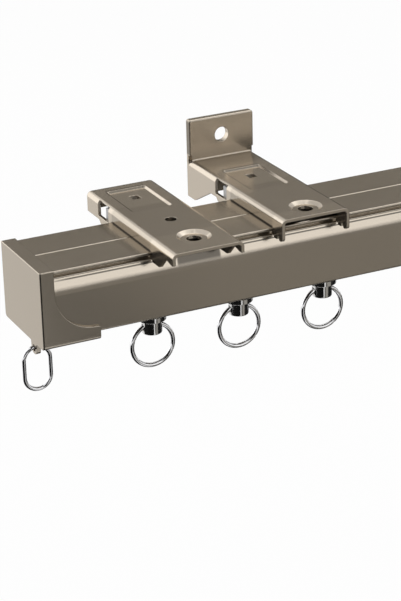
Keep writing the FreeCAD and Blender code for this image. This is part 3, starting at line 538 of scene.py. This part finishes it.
def growPiece(name, tree, values):
    # runs a tree with the given inputs and keeps its result as a plain mesh
    holder = bpy.data.objects.new(name + "_grown", bpy.data.meshes.new(name + "_grown"))
    bpy.context.scene.collection.objects.link(holder)
    modifier = holder.modifiers.new("grow", "NODES")
    modifier.node_group = tree
    for item in tree.interface.items_tree:
        if item.in_out == "INPUT" and item.name in values:
            modifier[item.identifier] = values[item.name]
    evaluated = holder.evaluated_get(bpy.context.evaluated_depsgraph_get())
    mesh = bpy.data.meshes.new_from_object(evaluated)
    bpy.data.objects.remove(holder)
    mesh.name = name
    piece = bpy.data.objects.new(name, mesh)
    bpy.context.scene.collection.objects.link(piece)
    return piece


wireSetup = {"around": 160, "aroundWire": 24}      # facets along the wire and round it
wireTree = makeWireTree(wireSetup)


def makeWires(setup):
    for node, slot in slotOfNode.items():
        if slot != "chrome_wire":
            continue
        low, high = (Vector(corner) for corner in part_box(node))
        wide, thick, tall = high - low
        piece = growPiece(node + "_wire", wireTree, {
            "Radius": (wide - thick) / 2, "Wire Radius": thick / 2, "Stretch": (tall - wide) / 2,
            "Around": setup["around"], "Around Wire": setup["aroundWire"], "Centre": (low + high) / 2,
            "Material": materials[slot]})
        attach(piece, node)
        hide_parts(node)


makeWires(wireSetup)
print("rings and links made")

# The floor and soft studio light, and cards that are only seen as mirror images
studio = {
    "floorDrop": 160 * mm,  # below the track's lowest point
    "floorSize": 12.0,      # metres, like the places of the cards and lamps
    "worldFill": 0.45,      # the world as a light; metal and the camera see it at 1
    "floorColour": linear(250, 250, 250),
    "floorPlain": 0.96,     # how much of the floor the camera sees as plain white
    "roughness": 0.8,       # of the floor and the cards
    "shine": 0.1,
    "cardRise": 5 * mm,     # the cards' height over the floor
    "cardStep": 1 * mm,     # a card that lies on another is this much higher
    "overHeight": 0.8,
}


def seenRay(tree):
    # 1 where the camera or a mirroring piece looks, 0 where only light is gathered
    path = tree.nodes.new("ShaderNodeLightPath").outputs
    return mathNode(tree, "MAXIMUM", path["Is Camera Ray"], path["Is Glossy Ray"])


def makeWorld(setup):
    world = bpy.data.worlds.new("studio")
    bpy.context.scene.world = world
    world.use_nodes = True
    tree = world.node_tree
    tree.nodes.clear()
    output = tree.nodes.new("ShaderNodeOutputWorld")
    mix = tree.nodes.new("ShaderNodeMixShader")
    tree.links.new(seenRay(tree), mix.inputs[0])
    for index, strength in ((1, setup["worldFill"]), (2, 1.0)):
        light = tree.nodes.new("ShaderNodeBackground")
        light.inputs["Color"].default_value = (1, 1, 1, 1)
        light.inputs["Strength"].default_value = strength
        tree.links.new(light.outputs[0], mix.inputs[index])
    tree.links.new(mix.outputs[0], output.inputs[0])


def makePlate(name, corners, colour):
    mesh = bpy.data.meshes.new(name)
    mesh.from_pydata(corners, [], [(0, 1, 2, 3)])
    plate = bpy.data.objects.new(name, mesh)
    bpy.context.scene.collection.objects.link(plate)
    material = bpy.data.materials.new(name)
    material.use_nodes = True
    shader = material.node_tree.nodes["Principled BSDF"]
    shader.inputs["Base Color"].default_value = colour
    shader.inputs["Roughness"].default_value = studio["roughness"]
    shader.inputs["Specular IOR Level"].default_value = studio["shine"]
    mesh.materials.append(material)
    return plate


def flatCorners(left, right, front, back, height):
    return [(left, front, height), (right, front, height), (right, back, height), (left, back, height)]


def makeFloor(setup):
    height = cadBounds[0][2] - setup["floorDrop"]
    half = setup["floorSize"] / 2
    plate = makePlate("floor", flatCorners(-half, half, -half, half, height), setup["floorColour"])
    tree = plate.data.materials[0].node_tree
    output = tree.nodes["Material Output"]
    plain = tree.nodes.new("ShaderNodeEmission")
    plain.inputs["Strength"].default_value = 1.0
    mix = tree.nodes.new("ShaderNodeMixShader")
    tree.links.new(mathNode(tree, "MULTIPLY", seenRay(tree), setup["floorPlain"]), mix.inputs[0])
    tree.links.new(tree.nodes["Principled BSDF"].outputs[0], mix.inputs[1])
    tree.links.new(plain.outputs[0], mix.inputs[2])
    tree.links.new(mix.outputs[0], output.inputs["Surface"])


def standingCorners(place, width, tall):
    # a card that stands upright at place and faces the track
    side = Vector((place[1], -place[0], 0)).normalized() * (width / 2)
    middle = Vector(place)
    up = Vector((0, 0, tall / 2))
    return [middle - side - up, middle + side - up, middle + side + up, middle - side + up]


cardLow = cadBounds[0][2] - studio["floorDrop"] + studio["cardRise"]
cardHigh = cardLow + studio["cardStep"]
blackCard = linear(12, 12, 12)
cards = {
    "darkCard": {"shape": flatCorners(-0.9, -0.05, -0.9, 0.1, cardLow), "colour": linear(8, 8, 8)},
    "leafCard": {"shape": flatCorners(0.02, 0.12, -5.5, -0.12, cardLow), "colour": linear(136, 134, 129)},
    "greyCard": {"shape": flatCorners(0.12, 5.5, -5.5, -0.12, cardLow), "colour": linear(199, 195, 187)},
    "behindCard": {"shape": flatCorners(0.05, 0.65, 0.2, 1.0, cardLow), "colour": linear(15, 15, 15)},
    "rightCard": {"shape": flatCorners(0.17, 1.0, -0.33, 0.15, cardHigh), "colour": blackCard},
    "underCard": {"shape": flatCorners(-0.16, 0.16, -0.11, 0.08, cardHigh), "colour": linear(15, 15, 15)},
    "overCard": {
        "shape": flatCorners(-0.2, 1.0, -0.4, -0.05, studio["overHeight"]), "colour": linear(178, 176, 170)},
    "plateCard": {"shape": standingCorners((0.42, -1.0, 0.62), 1.0, 0.5), "colour": linear(232, 231, 228)},
    "frontFlag": {"shape": standingCorners((-0.6, -0.9, 0.45), 1.6, 1.0), "colour": blackCard},
    "rightFlag": {"shape": standingCorners((1.1, 0.0, 0.3), 0.7, 0.5), "colour": blackCard},
    "lowBackCard": {"shape": standingCorners((0.62, 0.95, 0.03), 0.75, 0.44), "colour": linear(84, 82, 78)},
    "backCard": {"shape": standingCorners((0.55, 0.95, 0.48), 0.9, 0.42), "colour": linear(166, 162, 154)},
}


def makeCards(table):
    # no camera, diffuse or shadow ray meets a card, so it shows only where a piece mirrors it
    for name, look in table.items():
        card = makePlate(name, look["shape"], look["colour"])
        card.visible_camera = False
        card.visible_diffuse = False
        card.visible_shadow = False


# where each soft lamp stands, what it faces, its size and how bright it looks
lamps = {
    "overhead": {"place": (0.3, 0.26, 0.72), "aim": (0.02, 0.26, 0), "size": (0.8, 0.8), "level": 1.3},
    "backLeft": {"place": (-0.48, 0.8, 0.12), "aim": (-0.02, 0, 0), "size": (0.8, 0.8), "level": 0.87},
    "frontRight": {"place": (0.3, -0.95, 0.14), "aim": (0.02, 0, 0.04), "size": (0.62, 0.26), "level": 0.88},
}


def makeLamps(table):
    for name, look in table.items():
        data = bpy.data.lights.new(name, "AREA")
        data.shape = "RECTANGLE"
        data.size, data.size_y = look["size"]
        data.energy = look["level"] * math.pi * look["size"][0] * look["size"][1]
        lamp = bpy.data.objects.new(name, data)
        bpy.context.scene.collection.objects.link(lamp)
        place = Vector(look["place"])
        aim = Vector(look["aim"]) - place
        lamp.matrix_world = Matrix.Translation(place) @ aim.to_track_quat("-Z", "Y").to_matrix().to_4x4()
        lamp.visible_camera = False


makeWorld(studio)
makeFloor(studio)
makeCards(cards)
makeLamps(lamps)
bpy.context.scene.view_settings.view_transform = "Standard"
print("studio set")
